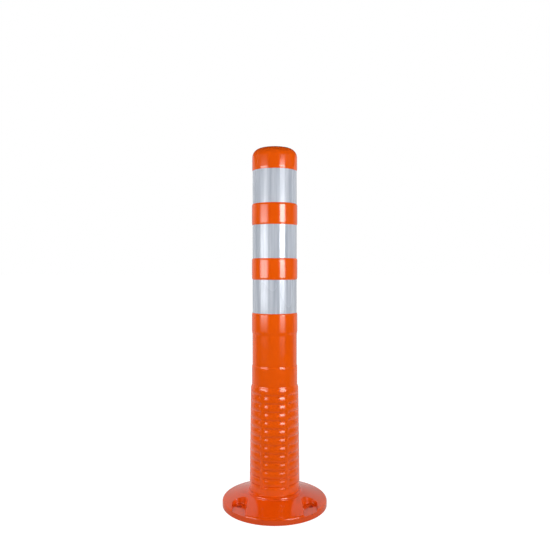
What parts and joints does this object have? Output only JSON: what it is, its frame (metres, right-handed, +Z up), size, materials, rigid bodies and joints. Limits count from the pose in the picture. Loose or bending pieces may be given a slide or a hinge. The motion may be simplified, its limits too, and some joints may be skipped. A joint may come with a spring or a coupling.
{
  "type": "flexible delineator post",
  "caption": "Upright flexible traffic post with a rounded cap, reflective bands, a ribbed bending boot and a round bolt-down base; it bends over and springs back.",
  "frame": {"origin": "centre of the base's underside, on the ground and on the post's axis", "axes": "+Z up along the post, -Y towards the front, with one anchor bolt at the back and two at the front"},
  "size_m": [0.1904, 0.1904, 0.65],
  "materials": {
    "orange_urethane": "glossy moulded urethane, dyed orange through",
    "reflective_film": "silver retroreflective film under a clear glossy face",
    "zinc_steel": "zinc plated",
    "brass": "turned",
    "black_nylon": "matt moulded"
  },
  "bodies": {
    "base": {"base_flange": "orange_urethane", "bolt_sleeve_1": "zinc_steel", "bolt_sleeve_2": "zinc_steel", "bolt_sleeve_3": "zinc_steel", "clamp_ring": "zinc_steel", "clamp_screws": "zinc_steel", "screw_inserts": "brass", "boot_segment_1": "orange_urethane"},
    "flex_1": {"boot_segment_2": "orange_urethane"},
    "flex_2": {"boot_segment_3": "orange_urethane"},
    "flex_3": {"boot_segment_4": "orange_urethane"},
    "flex_4": {"boot_segment_5": "orange_urethane"},
    "post": {"boot_segment_6": "orange_urethane", "joint_sleeve": "black_nylon", "post_tube": "orange_urethane", "reflective_band_1": "reflective_film", "reflective_band_2": "reflective_film", "reflective_band_3": "reflective_film", "top_cap": "orange_urethane"}
  },
  "joints": [
    {"name": "bend_foot", "type": "hinge", "parent": "base", "child": "flex_1", "pos_m": [0, 0, 0.0515], "axis": [1, 0, 0], "range_deg": [-30, 30], "stiffness_Nm_per_rad": 120, "deforming": ["boot_segment_1", "boot_segment_2"]},
    {"name": "lean_lower", "type": "hinge", "parent": "flex_1", "child": "flex_2", "pos_m": [0, 0, 0.0915], "axis": [0, 1, 0], "range_deg": [-22.5, 22.5], "stiffness_Nm_per_rad": 90, "deforming": ["boot_segment_2", "boot_segment_3"]},
    {"name": "bend_middle", "type": "hinge", "parent": "flex_2", "child": "flex_3", "pos_m": [0, 0, 0.1315], "axis": [1, 0, 0], "range_deg": [-30, 30], "stiffness_Nm_per_rad": 120, "deforming": ["boot_segment_3", "boot_segment_4"]},
    {"name": "lean_upper", "type": "hinge", "parent": "flex_3", "child": "flex_4", "pos_m": [0, 0, 0.1715], "axis": [0, 1, 0], "range_deg": [-22.5, 22.5], "stiffness_Nm_per_rad": 90, "deforming": ["boot_segment_4", "boot_segment_5"]},
    {"name": "bend_head", "type": "hinge", "parent": "flex_4", "child": "post", "pos_m": [0, 0, 0.2115], "axis": [1, 0, 0], "range_deg": [-30, 30], "stiffness_Nm_per_rad": 120, "deforming": ["boot_segment_5", "boot_segment_6"]}
  ],
  "couplings": [
    {"joint": "bend_middle", "follows": "bend_foot", "ratio": 1},
    {"joint": "bend_head", "follows": "bend_foot", "ratio": 1},
    {"joint": "lean_upper", "follows": "lean_lower", "ratio": 1}
  ]
}
